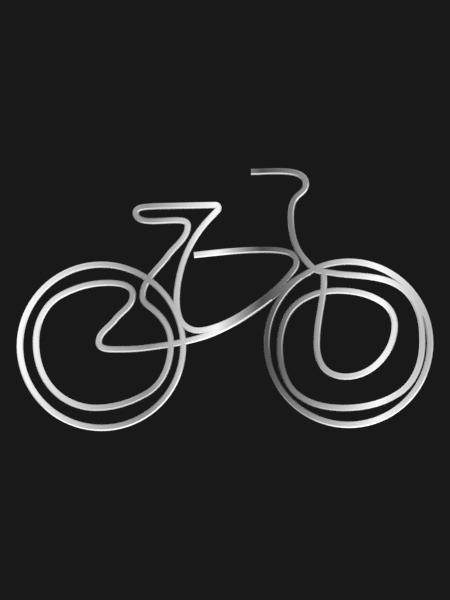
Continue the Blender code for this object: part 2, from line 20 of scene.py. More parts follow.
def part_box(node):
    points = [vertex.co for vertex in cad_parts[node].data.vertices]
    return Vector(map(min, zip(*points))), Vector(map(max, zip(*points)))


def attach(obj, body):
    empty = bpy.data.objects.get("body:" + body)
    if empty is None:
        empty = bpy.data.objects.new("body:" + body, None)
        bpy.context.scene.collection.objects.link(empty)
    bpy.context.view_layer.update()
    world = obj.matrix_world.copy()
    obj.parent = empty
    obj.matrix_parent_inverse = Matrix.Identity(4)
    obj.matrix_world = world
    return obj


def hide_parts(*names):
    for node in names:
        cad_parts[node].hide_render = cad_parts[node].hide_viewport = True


MM = 0.001
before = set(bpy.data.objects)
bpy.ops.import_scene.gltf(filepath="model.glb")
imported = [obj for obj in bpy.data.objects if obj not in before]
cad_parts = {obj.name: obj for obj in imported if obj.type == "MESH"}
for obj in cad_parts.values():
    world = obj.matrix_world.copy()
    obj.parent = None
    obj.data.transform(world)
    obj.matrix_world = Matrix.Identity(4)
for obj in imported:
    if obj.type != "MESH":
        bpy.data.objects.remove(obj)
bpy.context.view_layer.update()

# %% [markdown]
# ## The camera
#
# The photograph looks at the figure square on, from far away: the two wheels are true circles
# and no inner side of a bar shows. A long lens four metres away gives that flat view. In the
# picture one pixel is one millimetre, so 600 rows cover 0.6 m at the bars' front faces, and the
# picture's centre is 13 mm to the right of the bottom bracket and 31 mm above it.

# %% Camera
BAR_DEPTH = 6.0 * MM
STAND_OFF = 12.0 * MM
FRONT_FACE = -STAND_OFF - BAR_DEPTH
DISTANCE = 4.0
SENSOR = 36.0
PICTURE_HEIGHT = 600 * MM
PICTURE_CENTRE = (13 * MM, 31 * MM)

camera = bpy.data.objects.new("camera", bpy.data.cameras.new("camera"))
bpy.context.scene.collection.objects.link(camera)
camera.location = (PICTURE_CENTRE[0], FRONT_FACE - DISTANCE, PICTURE_CENTRE[1])
camera.rotation_euler = (math.radians(90), 0, 0)
camera.data.sensor_width = SENSOR
camera.data.lens = SENSOR * DISTANCE / PICTURE_HEIGHT
camera.data.clip_end = 50.0
bpy.context.scene.camera = camera
bpy.context.scene.view_settings.view_transform = "Standard"
print("lens:", round(camera.data.lens), "mm")

# %% [markdown]
# ## Ground, floor and light
#
# The picture's ground is a plain, nearly black cloth. The world shows that tone to the camera
# alone, and is a soft pale studio to everything else, so that the metal still has something
# bright to reflect. The floor is pale and lies well below, out of the picture. One wide lamp in
# front does the general lighting. A long low lamp below the ornament is there for the bevels: a
# bevel that leans down by forty-five degrees mirrors exactly what lies straight below it. Places
# and sizes of lamps and floor are in metres.

# %% World, floor and lamps
GROUND = (0.0098, 0.0098, 0.0101, 1.0)
WHITE = (1.0, 1.0, 1.0, 1.0)
STUDIO = 1.0
FLOOR_DROP = 0.7
FLOOR_HALF = 5.0
FLOOR_COLOUR = (0.56, 0.56, 0.55, 1.0)
FLOOR_ROUGHNESS = 0.7


def node(tree, kind, **values):
    """A new shader node with these input values."""
    made = tree.nodes.new(kind)
    for key, value in values.items():
        made.inputs[key.replace("_", " ")].default_value = value
    return made


world = bpy.data.worlds.new("studio")
bpy.context.scene.world = world
world.use_nodes = True
tree = world.node_tree
tree.nodes.clear()
ground = node(tree, "ShaderNodeBackground", Color=GROUND, Strength=1.0)
studio = node(tree, "ShaderNodeBackground", Color=WHITE, Strength=STUDIO)
rays = node(tree, "ShaderNodeLightPath")
choice = node(tree, "ShaderNodeMixShader")
output = node(tree, "ShaderNodeOutputWorld")
tree.links.new(rays.outputs["Is Camera Ray"], choice.inputs["Fac"])
tree.links.new(studio.outputs[0], choice.inputs[1])
tree.links.new(ground.outputs[0], choice.inputs[2])
tree.links.new(choice.outputs[0], output.inputs[0])


def lamp(name, place, aim, sides, watts):
    """A soft oblong lamp that looks from one point at another."""
    data = bpy.data.lights.new(name, "AREA")
    data.shape = "RECTANGLE"
    data.size, data.size_y = sides
    data.energy = watts
    made = bpy.data.objects.new(name, data)
    made.location = place
    made.rotation_euler = (Vector(aim) - Vector(place)).to_track_quat("-Z", "Y").to_euler()
    made.visible_camera = False
    bpy.context.scene.collection.objects.link(made)


lamp("front_lamp", place=(-1.2, -2.4, 1.6), aim=(0, 0, 0.03), sides=(1.6, 1.6), watts=15)
lamp(
    "low_lamp", place=(0.35, FRONT_FACE, -0.5), aim=(0.35, FRONT_FACE, 0.0), sides=(1.8, 0.5),
    watts=2.8,
)

pale = bpy.data.materials.new("pale_floor")
pale.use_nodes = True
pale_shader = pale.node_tree.nodes["Principled BSDF"]
pale_shader.inputs["Base Color"].default_value = FLOOR_COLOUR
pale_shader.inputs["Roughness"].default_value = FLOOR_ROUGHNESS
bm = bmesh.new()
bmesh.ops.create_grid(bm, x_segments=1, y_segments=1, size=FLOOR_HALF)
bmesh.ops.translate(bm, verts=bm.verts, vec=(0, 0, -FLOOR_DROP))
floor_mesh = bpy.data.meshes.new("floor")
bm.to_mesh(floor_mesh)
bm.free()
floor_mesh.materials.append(pale)
floor = bpy.data.objects.new("floor", floor_mesh)
bpy.context.scene.collection.objects.link(floor)

# %% [markdown]
# ## The line
#
# The bars follow three lines and two rims. Each line runs through anchors, which are points with
# a heading, and bends between two anchors like an arc. The solids were made from the same
# anchors, so what is laid along these lines fits the bars exactly. They are used for two things
# below: for the grain, which runs along each bar, and for the solder in the joints.

# %% Anchors
RIM_RADIUS = 81.7 * MM
REAR_HUB = Vector((-RIM_RADIUS - 28.9 * MM, -15.3 * MM))
FRONT_HUB = Vector((RIM_RADIUS + 55.0 * MM, -12.3 * MM))
CROWN_CLOCK = 114.3
STRAND_CLOCK = CROWN_CLOCK + 18.2
STRAND_OFFSET = 3.5 * MM


def direction(heading):
    """The unit vector at this many degrees anticlockwise from +X."""
    return Vector((math.cos(math.radians(heading)), math.sin(math.radians(heading))))


def on_wheel(hub, clock, inset=0.0):
    """The point at this clock angle, this many millimetres inside the rim's centreline."""
    return hub + (RIM_RADIUS - inset * MM) * direction(clock)


def shift(point, across, up):
    """The point moved this many millimetres."""
    return point + Vector((across, up)) * MM


def past_crown(turned, inset, lean):
    """An anchor on the front wheel, this many degrees clockwise from the crown."""
    clock = CROWN_CLOCK - turned
    return on_wheel(FRONT_HUB, clock, inset), clock - 90 + lean


CROWN = on_wheel(FRONT_HUB, CROWN_CLOCK)
BRACKET = Vector((0.0, 0.0))
NOSE = Vector((10.7, 126.1)) * MM
TOP = shift(CROWN, 0.0, 19.0)
GRIP = shift(CROWN, 0.0, 97.7)
DOWN_TUBE = (
    (shift(BRACKET, 21.6, 11.7), 28),
    (shift(CROWN, -61.1, -37.6), 34),
    (shift(CROWN, -46.8, -27.2), 38.5),
)
STRAND = [
    (point + STRAND_OFFSET * direction(heading - 90), heading + 180)
    for point, heading in reversed(DOWN_TUBE)
]
LOWER = [
    (on_wheel(FRONT_HUB, STRAND_CLOCK - 14.0, 0.6), 205),
    (on_wheel(FRONT_HUB, STRAND_CLOCK, -1.5), 216),
    *STRAND,
    (shift(BRACKET, -7.4, -5.3), 198),
    (shift(REAR_HUB, 41.8, -1.9), 187),
    (shift(REAR_HUB, 12.4, -3.1), 180),
    (shift(REAR_HUB, -2.8, 3.9), 90),
    (shift(REAR_HUB, 13.4, 26.3), 53),
    (on_wheel(REAR_HUB, 58.5, 21.6), 90),
    (on_wheel(REAR_HUB, 84.5, 17.9), 180),
    (on_wheel(REAR_HUB, 128.5, 16.4), 209),
    (on_wheel(REAR_HUB, 176.5, 15.9), 270),
    (on_wheel(REAR_HUB, 216.5, 16.6), 307),
    (on_wheel(REAR_HUB, 265.0, 19.7), 0),
    (on_wheel(REAR_HUB, 313.5, 16.3), 30),
    (on_wheel(REAR_HUB, 2.5, 12.1), 90),
    (on_wheel(REAR_HUB, 38.5, 19.1), 143),
    (on_wheel(REAR_HUB, 50.5, 17.4), 90),
    (shift(BRACKET, -43.7, 75.7), 55),
    (shift(BRACKET, -24.2, 105.4), 90),
    (shift(BRACKET, -36.4, 110.9), 180),
    (shift(BRACKET, -58.9, 110.0), 180),
    (shift(BRACKET, -76.3, 118.2), 90),
    (shift(BRACKET, -65.2, 124.2), 5),
    (shift(NOSE, -56.0, -1.1), 1),
    (shift(NOSE, -21.0, -0.3), 1),
    (NOSE, 1),
]
UPPER = [
    (NOSE, 226),
    (NOSE + 19.0 * MM * direction(226), 226),
    (shift(BRACKET, -15.9, 95.6), 237),
    (shift(BRACKET, -30.0, 65.4), 254),
    (shift(BRACKET, -35.4, 32.8), 270),
    (on_wheel(REAR_HUB, 20.5, -1.2), 290),
    (on_wheel(REAR_HUB, 15.1, -3.0), 314),
    (shift(BRACKET, -14.0, 0.3), 0),
    (shift(BRACKET, 0.0, 2.7), 16),
    *DOWN_TUBE,
    (shift(CROWN, -41.0, -22.2), 41),
    (shift(CROWN, -24.6, -5.3), 51),
    (shift(TOP, -18.1, -12.1), 90),
    (shift(TOP, -27.0, -2.4), 164),
    (shift(TOP, -52.9, 0.0), 180),
    (Vector((-18.0 * MM, TOP.y - 5.2 * MM)), 186),
]
FRONT = [
    (shift(GRIP, -64.0, -0.7), 0),
    (shift(GRIP, -40.4, 0.0), 0),
    (shift(GRIP, -9.0, -13.1), 270),
    (shift(GRIP, -16.4, -23.6), 219),
    (shift(CROWN, -24.2, 52.4), 270),
    (shift(CROWN, -17.3, 19.3), 297),
    (shift(CROWN, -5.0, 3.7), 312),
    past_crown(0.4, 1.5, -47),
    past_crown(8.9, 8.2, -26.4),
    past_crown(40.5, 12.2, 9.2),
    past_crown(53.3, 8.8, 14),
    past_crown(66.3, 5.3, 9),
    past_crown(77.3, 4.1, 0),
    past_crown(88.8, 4.9, -2.5),
    past_crown(113.3, 7.7, -1),
    past_crown(159.3, 10.7, -12),
    past_crown(208.8, 16.6, 4.5),
    past_crown(247.3, 9.4, 7),
    past_crown(291.8, 12.8, -2.5),
    past_crown(313.3, 14.0, -1),
    past_crown(372.8, 27.9, -11.5),
    past_crown(423.3, 28.6, 6),
    past_crown(453.3, 32.1, -21),
    past_crown(500.8, 45.0, -14.5),
    past_crown(568.8, 48.1, 4.5),
    past_crown(612.3, 47.0, -6),
    past_crown(653.8, 49.8, -0.5),
    (shift(CROWN, 8.8, -18.6), 84),
    (shift(CROWN, 9.0, -8.7), 90),
    (shift(CROWN, 9.0, -3.0), 90),
]
print("anchors:", len(LOWER), len(UPPER), len(FRONT))

# %% [markdown]
# ## From anchors to lines
#
# Between two anchors the bar bends as evenly as a hand would bend it. A Bezier curve does so if
# its two handles have the right lengths, and a known formula gives these from the headings. Each
# stretch is then cut into short straight steps. A curve object would hold the same shape, but
# here the points are needed themselves, with their distance along the bar.

# %% Lines
MOST_BEND = 5.0
LONGEST_STEP = 9.0 * MM
FINE_POINTS = 33
LEAST_ROOM = 0.3 * MM
SEARCH_STEP = 0.25 * MM
SEARCH_STEPS = 6
RIM_STEPS = 80


class Line:
    """A run of points, with the distance along it of each point and of each anchor."""

    def __init__(self, points, marks=()):
        self.points = points
        self.along = [0.0]
        for p, q in zip(points, points[1:]):
            self.along.append(self.along[-1] + (q - p).length)
        self.length = self.along[-1]
        self.marks = [self.along[index] for index in marks]

    def step_at(self, distance):
        last = len(self.points) - 2
        return next((i for i in range(last) if self.along[i + 1] > distance), last)

    def way_of(self, index):
        return (self.points[index + 1] - self.points[index]).normalized()

    def at(self, distance):
        index = self.step_at(distance)
        return self.points[index] + (distance - self.along[index]) * self.way_of(index)

    def heading(self, distance):
        return self.way_of(self.step_at(distance))

    def nearest(self, spot, around):
        """The point of the line that lies nearest to a spot, looked for around a distance."""
        counts = range(-SEARCH_STEPS, SEARCH_STEPS + 1)
        tries = [self.at(around + count * SEARCH_STEP) for count in counts]
        return min(tries, key=lambda p: (p - spot).length)

    def between(self, start, end):
        """The points from one distance to another, with room between the ends and the rest."""
        known = zip(self.points, self.along)
        low, high = start + LEAST_ROOM, end - LEAST_ROOM
        inside = [p for p, distance in known if low < distance < high]
        return [self.at(start), *inside, self.at(end)]


def handles(start, heading_in, end, heading_out):
    """Handle lengths that bend one Bezier stretch as evenly as an arc."""
    chord = end - start
    slope = math.atan2(chord.y, chord.x)
    a = math.remainder(math.radians(heading_in) - slope, math.tau)
    b = math.remainder(slope - math.radians(heading_out), math.tau)
    skew = math.sqrt(2) * (math.sin(a) - math.sin(b) / 16) * (math.sin(b) - math.sin(a) / 16)
    skew *= math.cos(a) - math.cos(b)
    near = 1.5 * (math.sqrt(5) - 1)
    far = 1.5 * (3 - math.sqrt(5))
    leave = 3 + near * math.cos(a) + far * math.cos(b)
    arrive = 3 + near * math.cos(b) + far * math.cos(a)
    return chord.length * (2 + skew) / leave, chord.length * (2 - skew) / arrive


def trace(anchors):
    """The line through these anchors, in steps of at most five degrees or nine millimetres."""
    points = [anchors[0][0]]
    marks = [0]
    for (start, heading_in), (end, heading_out) in zip(anchors, anchors[1:]):
        leave, arrive = handles(start, heading_in, end, heading_out)
        first = start + leave * direction(heading_in)
        last = end - arrive * direction(heading_out)
        bezier = (start, first, last, end)
        fine = [p.to_2d() for p in interpolate_bezier(*bezier, FINE_POINTS)]
        length = sum((q - p).length for p, q in zip(fine, fine[1:]))
        bend = sum(
            abs(math.degrees((q - p).angle_signed(r - q, 0.0)))
            for p, q, r in zip(fine, fine[1:], fine[2:])
        )
        steps = math.ceil(max(bend / MOST_BEND, length / LONGEST_STEP))
        points += [p.to_2d() for p in interpolate_bezier(*bezier, steps + 1)[1:]]
        marks.append(len(points) - 1)
    return Line(points, marks)


lower, upper, front = trace(LOWER), trace(UPPER), trace(FRONT)
rear_round, front_round = [
    Line([on_wheel(hub, index * 360 / RIM_STEPS - 90) for index in range(RIM_STEPS + 1)])
    for hub in (REAR_HUB, FRONT_HUB)
]
lines = (lower, upper, front, rear_round, front_round)
print("lengths in mm:", [round(line.length / MM) for line in lines])

# %% [markdown]
# ## The painted sheen
#
# The bars' base colour holds a painted sheen: a painted reflection of light and dark studio that
# runs straight across the figure, whatever the bar beneath does: white at the back of the rear
# wheel, mid grey at its front, white again at the seat tube, dark where the front wheel begins,
# and white once more in its front half. Six stops and straight runs between them describe it.
# They are tones as the eye sees them, so a Gamma node turns them into light. All pieces sit at
# the origin, so Object coordinates carry the painted sheen over from one bar to the next without
# a step.

# %% Painted sheen
# Stops of a painted reflection: light and dark of the studio, painted into the bars' base colour
# along X.
PAINTED_SHEEN = ((-192, 1.0), (-65, 0.583), (5, 0.985), (50, 0.314), (166, 1.0), (223, 0.70))
PAINTED_SHEEN_START = -212
PAINTED_SHEEN_END = 238
EYE_GAMMA = 2.2


def new_material(name):
    """A material of metal, its tree and its shader."""
    made = bpy.data.materials.new(name)
    made.use_nodes = True
    shader = made.node_tree.nodes["Principled BSDF"]
    shader.inputs["Metallic"].default_value = 1.0
    return made, made.node_tree, shader


def painted_sheen(tree, dulled):
    """The painted sheen across the figure, a painted reflection, as light."""
    place = node(tree, "ShaderNodeTexCoord")
    split = node(tree, "ShaderNodeSeparateXYZ")
    tree.links.new(place.outputs["Object"], split.inputs[0])
    span = node(tree, "ShaderNodeMapRange", From_Min=PAINTED_SHEEN_START * MM, From_Max=PAINTED_SHEEN_END * MM)
    tree.links.new(split.outputs["X"], span.inputs["Value"])
    ramp = node(tree, "ShaderNodeValToRGB")
    stops = ramp.color_ramp.elements
    for position, tone in PAINTED_SHEEN:
        share = (position - PAINTED_SHEEN_START) / (PAINTED_SHEEN_END - PAINTED_SHEEN_START)
        stop = stops.new(share)
        stop.color = (tone * dulled, tone * dulled, tone * dulled, 1.0)
    stops.remove(stops[0])
    stops.remove(stops[-1])
    tree.links.new(span.outputs["Result"], ramp.inputs["Fac"])
    light = node(tree, "ShaderNodeGamma", Gamma=EYE_GAMMA)
    tree.links.new(ramp.outputs["Color"], light.inputs["Color"])
    return light.outputs["Color"]


print("sheen stops:", len(PAINTED_SHEEN))

# %% [markdown]
# ## The polish
#
# Two things follow the bar itself, and come in as attributes of the mesh. "lay" is a place in
# the bar's own directions: along it, across it and into its depth. Noise that is stretched along
# the first of them is the grain that a polishing wheel leaves. The second attribute says how much
# an edge is turned to the lower right, towards the light, where the photograph has a white line.
# There the bevel's base colour is painted near-white: a painted highlight. One could give those
# faces a material of their own, but along a bend the line fades in and out, and an attribute can
# do that too.
#
# GRAIN_STRETCH is in waves per metre along the bar, across it and into it. The Mix node has
# sockets for every kind of value, so those for colours go by their numbers.

# %% Polished bar
# Near-white base colour of the painted highlight on the bevels that face the light.
PAINTED_HIGHLIGHT_COLOUR = (0.95, 0.95, 0.95, 1.0)
STRIP_STARTS = 0.68
STRIP_FULL = 0.80
GRAIN_STRETCH = (60.0, 2600.0, 2600.0)
GRAIN_STRENGTH = 0.2
GRAIN_DEPTH = 0.002 * MM
COLOUR_A, COLOUR_B, COLOUR_RESULT = 6, 7, 2


def attribute(tree, name):
    made = node(tree, "ShaderNodeAttribute")
    made.attribute_name = name
    return made


def grain(tree):
    """Noise drawn out along the bar."""
    lay = attribute(tree, "lay")
    drawn = node(tree, "ShaderNodeMapping", Scale=GRAIN_STRETCH)
    tree.links.new(lay.outputs["Vector"], drawn.inputs["Vector"])
    noise = node(tree, "ShaderNodeTexNoise", Scale=1.0, Detail=3.0, Roughness=0.6)
    tree.links.new(drawn.outputs["Vector"], noise.inputs["Vector"])
    return noise.outputs["Fac"]


def product(tree, first, second):
    """The product of two sockets' values."""
    made = node(tree, "ShaderNodeMath")
    made.operation = "MULTIPLY"
    tree.links.new(first, made.inputs[0])
    tree.links.new(second, made.inputs[1])
    return made.outputs[0]


def bar_finish(name, least, most, dulled):
    """Polished metal with a grain along the bar, the painted sheen, and a painted highlight on the
    lower bevels.
    """
    made, tree, shader = new_material(name)
    # Painted highlight mask: the edge's turn to the light, spread onto a strip of the face beside
    # it.
    strip = node(tree, "ShaderNodeMapRange", From_Min=STRIP_STARTS, From_Max=STRIP_FULL)
    tree.links.new(attribute(tree, "rim").outputs["Fac"], strip.inputs["Value"])
    painted_highlight = product(tree, attribute(tree, "painted_highlight").outputs["Fac"], strip.outputs["Result"])
    mix = node(tree, "ShaderNodeMix")
    mix.data_type = "RGBA"
    tree.links.new(painted_highlight, mix.inputs["Factor"])
    tree.links.new(painted_sheen(tree, dulled), mix.inputs[COLOUR_A])
    mix.inputs[COLOUR_B].default_value = PAINTED_HIGHLIGHT_COLOUR
    tree.links.new(mix.outputs[COLOUR_RESULT], shader.inputs["Base Color"])

    streaks = grain(tree)
    rough = node(tree, "ShaderNodeMapRange", To_Min=least, To_Max=most)
    tree.links.new(streaks, rough.inputs["Value"])
    tree.links.new(rough.outputs["Result"], shader.inputs["Roughness"])
    relief = node(tree, "ShaderNodeBump", Strength=GRAIN_STRENGTH, Distance=GRAIN_DEPTH)
    tree.links.new(streaks, relief.inputs["Height"])
    tree.links.new(relief.outputs["Normal"], shader.inputs["Normal"])
    return made


# Both finishes carry the painted sheen and the painted highlight in their base colour.
polished_bar = bar_finish("polished_bar", least=0.22, most=0.32, dulled=1.0)
solder_finish = bar_finish("flush_solder", least=0.28, most=0.36, dulled=0.985)
print("finishes:", polished_bar.name, solder_finish.name)

# %% [markdown]
# ## Steps along the lines
#
# Two questions come up again and again below: which place on the lines lies nearest to a point,
# and does another bar run close by? Measuring along every line each time would be slow. A k-d
# tree, filled with places at even steps along the lines, finds the nearest ones at once.

# %% Steps
STEP = 1.0 * MM
FURTHER_ON = 20 * MM


def steps_of(chosen):
    """Places at even steps along these lines, and a tree that finds the nearest."""
    found = []
    for line in chosen:
        for count in range(int(line.length / STEP) + 1):
            found.append((line, count * STEP, line.at(count * STEP)))
    finder = kdtree.KDTree(len(found))
    for number, (_, _, spot) in enumerate(found):
        finder.insert(spot.to_3d(), number)
    finder.balance()
    return found, finder


places, nearby = steps_of(lines)


def neighbours(line, distance, spot, reach):
    """Steps of other lines, or of this one further on, within reach of this spot."""
    for _, number, gap in nearby.find_range(spot.to_3d(), reach):
        other, there, _ = places[number]
        apart = abs(there - distance)
        if other is not line or FURTHER_ON < apart < line.length - FURTHER_ON:
            yield gap, other, there


print("steps along the lines:", len(places))

# %% [markdown]
# ## The lit edges
#
# The white line of the photograph follows the bars on their lower right side and fades out where
# a bar turns another way. Here it is a highlight painted on the bevel in near-white. A bevel's
# faces are known by their lean, and the way they look, set against the way to the light, gives
# how strongly it is painted. Picking the edges by hand would do for a straight bar, but not for
# these bends.
#
# FLAT and LEAN are limits on the part of a face's normal that points at the viewer. AGREED is
# how much the bevels round a point must look the same way. The light's limits are cosines.

# %% Lit edges
BAR_WIDTH = 6.0 * MM
ARRIS = 1.1 * MM
FLAT = 0.99
LEAN = (0.6, 0.8)
FACE_ROOM = 0.1 * MM
LIGHT_FROM = Vector((0.59, -0.807))
LIGHT_STARTS = 0.42
LIGHT_FULL = 0.92
AGREED = 0.35
BEYOND_CREST = 1.4 * MM
BEYOND_SIDE = 0.3 * MM


def is_front(face):
    height = face.calc_center_median().y - FRONT_FACE
    return face.normal.y < -FLAT and height < FACE_ROOM


def is_bevel(face):
    leans = LEAN[0] < -face.normal.y < LEAN[1]
    return leans and FRONT_FACE < face.calc_center_median().y < FRONT_FACE + ARRIS


def on_crest(knot):
    """Whether this point lies on the bevel's front edge, and not on its outer one."""
    return knot.co.y < FRONT_FACE + ARRIS / 2


def painted_highlight_at(looks, count):
    """How strongly an edge's highlight is painted, from 0 to 1, by the sum of its bevels'
    directions.

    Bevels that look opposite ways cancel out, and leave the point between them dull.
    """
    if looks.length < AGREED * count:
        return 0.0
    turned = (looks.normalized().dot(LIGHT_FROM) - LIGHT_STARTS) / (LIGHT_FULL - LIGHT_STARTS)
    return min(max(turned, 0.0), 1.0)


def is_covered(knot, looks):
    """Whether there is bar, and not air, just beyond the edge here."""
    out = looks.normalized() * (BEYOND_CREST if on_crest(knot) else BEYOND_SIDE)
    beyond = Vector((knot.co.x, knot.co.z)) + out
    return bool(nearby.find_range(beyond.to_3d(), BAR_WIDTH / 2))


def lit_edges(bm):
    """The painted highlight of each point of a bevel, and the lit points that have bar beyond
    them.
    """
    looks = {}
    for face in bm.faces:
        if is_bevel(face):
            for knot in face.verts:
                looks.setdefault(knot, []).append(Vector((face.normal.x, face.normal.z)))
    bright = {}
    covered = set()
    for knot, ways in looks.items():
        way = sum(ways, Vector((0, 0)))
        bright[knot] = painted_highlight_at(way, len(ways))
        if bright[knot] and is_covered(knot, way):
            covered.add(knot)
    return bright, covered


fades = [round(math.degrees(math.acos(share))) for share in (LIGHT_FULL, LIGHT_STARTS)]
print("the white line fades from", fades[0], "to", fades[1], "degrees off the light")

# %% [markdown]
# ## Lay, painted highlight and rim
#
# The painted highlight is a little wider than the bevel: it takes in a strip of the face beside
# it.
# An inset of the face would make that strip, but it folds over itself where two bars run together.
# Instead "rim" goes from -1 at the dull edge of the face to 1 at the lit one, and the finish
# starts the painted strip where it passes a threshold. Where bar, and not air, lies beyond the
# edge, the face gets no strip. The three values belong to the corners of faces, and not to
# points, so that a bevel and the face beside it can differ along the edge that they share.

# %% Attributes
# How much painted highlight a bevel's outer edge keeps, and the least any bevel gets.
LEAST_PAINTED_HIGHLIGHT = 0.03
OUTER_PAINTED_HIGHLIGHT = 0.15


def lay_bars_way(bm, chosen, in_gaps=False):
    """Writes lay, the painted highlight and rim into the corners of the faces."""
    lay = bm.loops.layers.float_vector.new("lay")
    # The strength of the painted highlight at each corner, and which side of the face it lies on.
    painted_highlight = bm.loops.layers.float.new("painted_highlight")
    rim = bm.loops.layers.float.new("rim")
    own, finder = steps_of(chosen)
    bright, covered = lit_edges(bm)
    for face in bm.faces:
        bevel = is_bevel(face)
        flat = is_front(face)
        middle = face.calc_center_median()
        line, distance, spot = own[finder.find((middle.x, middle.z, 0.0))[1]]
        way = line.heading(distance)
        side = Vector((-way.y, way.x))
        for loop in face.loops:
            knot = loop.vert
            away = Vector((knot.co.x, knot.co.z)) - spot
            loop[lay] = (distance + away.dot(way), away.dot(side), knot.co.y)
            value = 0.0 if knot in covered and (flat or in_gaps) else bright.get(knot, 0.0)
            if bevel:
                value *= 1.0 if on_crest(knot) else OUTER_PAINTED_HIGHLIGHT
                loop[painted_highlight] = max(value, LEAST_PAINTED_HIGHLIGHT)
                loop[rim] = 1.0
            elif flat:
                loop[painted_highlight] = value
                loop[rim] = 1.0 if value else -1.0


print("gleam of a bevel, outer edge and least:", OUTER_PAINTED_HIGHLIGHT, LEAST_PAINTED_HIGHLIGHT)

# %% [markdown]
# ## The bars
#
# The frame's bars have the right shape, with all their laps cut. Their meshes are loose flat
# triangles, so a curve shows its facets. A copy of each is merged and shaded smooth, with hard
# edges kept wherever two faces meet at more than twelve degrees. The frame's meshes also bring
# stored normals, which no longer fit once points are merged, so they go. The copy stands for the
# node.

# %% Bars
BARS = {
    "rear_rim": (rear_round,),
    "front_rim": (front_round,),
    "down_tube": (upper, lower),
    "chainstay": (lower,),
    "rear_inner_loop": (lower,),
    "seat_stay": (lower,),
    "saddle": (lower,),
    "saddle_nose": (lower, upper),
    "seat_tube": (upper,),
    "top_tube": (upper,),
    "stem": (front,),
    "handlebar": (front,),
    "fork_blade": (front,),
    "front_outer_loop": (front,),
    "front_inner_loop": (front,),
}
WELD = 0.002 * MM
BAR_SHARP = 12


def merged_copy(name):
    """The node's mesh as one closed skin."""
    bm = bmesh.new()
    bm.from_mesh(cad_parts[name].data)
    bmesh.ops.remove_doubles(bm, verts=bm.verts, dist=WELD)
    return bm


def finish_piece(bm, name, material, sharp):
    """Makes the mesh an object that rides on the frame, shaded smooth where it is round."""
    mesh = bpy.data.meshes.new(name)
    bm.to_mesh(mesh)
    bm.free()
    stored = mesh.attributes.get("custom_normal")
    if stored:
        mesh.attributes.remove(stored)
    for face in mesh.polygons:
        face.use_smooth = abs(face.normal.y) < FLAT
    mesh.set_sharp_from_angle(angle=math.radians(sharp))
    mesh.materials.append(material)
    piece = bpy.data.objects.new(name, mesh)
    bpy.context.scene.collection.objects.link(piece)
    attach(piece, "root")
    return piece


for name, chosen in BARS.items():
    bm = merged_copy(name)
    lay_bars_way(bm, chosen)
    print(name, "faces:", len(bm.faces))
    bar = finish_piece(bm, name + "_bar", polished_bar, BAR_SHARP)
    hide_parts(name)

# %% [markdown]
# ## The joints
#
# The laps are soft-soldered and polished flush: in the photograph no joint shows at all. The
# solids leave three tenths of a millimetre between two bars, which would show as a dark
# hairline, so each joint gets its solder. Where do joints lie? A step along a line belongs to
# one if it lies near a splice, or within a bar's width of another line, or of the same line
# further on. The corner plate at the saddle's nose needs none. The splices are placed by the
# anchors they lie near.

# %% Joints
SPLICE_REACH = 7 * MM
NOSE_REACH = 8.5 * MM
JOINT_REACH = BAR_WIDTH + 0.5 * MM
SHORTEST_JOINT = 2 * STEP
LONGEST_BREAK = 4 * STEP
SPLICES = {
    lower: (
        lower.marks[5] + 10 * MM, lower.marks[9], lower.marks[18], lower.marks[22] + 10 * MM,
        lower.marks[27] + 3 * MM,
    ),
    upper: (14 * MM, upper.marks[7] - 3.5 * MM, upper.marks[13] + 2 * MM),
    front: (front.marks[4], front.marks[8] + 16 * MM, front.marks[18], front.marks[24]),
}


def in_joint(line, distance, spot):
    if (spot - NOSE).length < NOSE_REACH:
        return False
    if any(abs(distance - splice) < SPLICE_REACH for splice in SPLICES.get(line, ())):
        return True
    return any(True for _ in neighbours(line, distance, spot, JOINT_REACH))


def joint_runs():
    """The stretches of the lines that lie in joints, as lists of points."""
    runs = []
    for line, distance, spot in places:
        if not in_joint(line, distance, spot):
            continue
        if runs and runs[-1][0] is line and distance - runs[-1][2] < LONGEST_BREAK:
            runs[-1][2] = distance
        else:
            runs.append([line, distance, distance])
    long_enough = [run for run in runs if run[2] - run[1] > SHORTEST_JOINT]
    return [line.between(start, end) for line, start, end in long_enough]


print("stretches in joints:", len(joint_runs()))

# %% [markdown]
# ## The grooves
#
# Where two bars run together at a slant, their bevels leave a groove between them. The picture
# shows none: their faces flow into one. So a narrow flat bead is to run down the middle of each
# groove. It lies where the nearest step of another line heads roughly the same way and is too
# far off to be the same bar, but too near to leave air between. Merging the two bars into one
# mesh would close the groove too, but they are separate pieces.

# %% Grooves
GROOVE_STARTS = 3.4 * MM
GROOVE_ENDS = 5.5 * MM
SAME_WAY = 0.75
LONGEST_JUMP = 8 * STEP
FEWEST_POINTS = 4


def beside(line, distance, spot):
    """The steps of later lines, or further on, that run along with this one, by their gap."""
    return [
        (gap, lines.index(other), there)
        for gap, other, there in neighbours(line, distance, spot, BAR_WIDTH)
        if abs(other.heading(there).dot(line.heading(distance))) > SAME_WAY
        and (lines.index(line), distance) < (lines.index(other), there)
    ]


def groove_runs():
    """The middles of the grooves between bars that run together, as lists of points."""
    runs = []
    last = None
    for line, distance, spot in places:
        along_with = beside(line, distance, spot)
        if not along_with:
            continue
        _, number, there = min(along_with)
        place = lines[number].nearest(spot, there)
        if not GROOVE_STARTS < (spot - place).length < GROOVE_ENDS:
            continue
        here = (line, number, distance, there)
        goes_on = last and last[:2] == here[:2] and distance - last[2] < LONGEST_BREAK
        if not goes_on or abs(there - last[3]) > LONGEST_JUMP:
            runs.append([])
        runs[-1].append((spot + place) / 2)
        last = here
    return [run[:1] + run[2:-2:3] + run[-1:] for run in runs if len(run) > FEWEST_POINTS]


print("grooves:", len(groove_runs()))

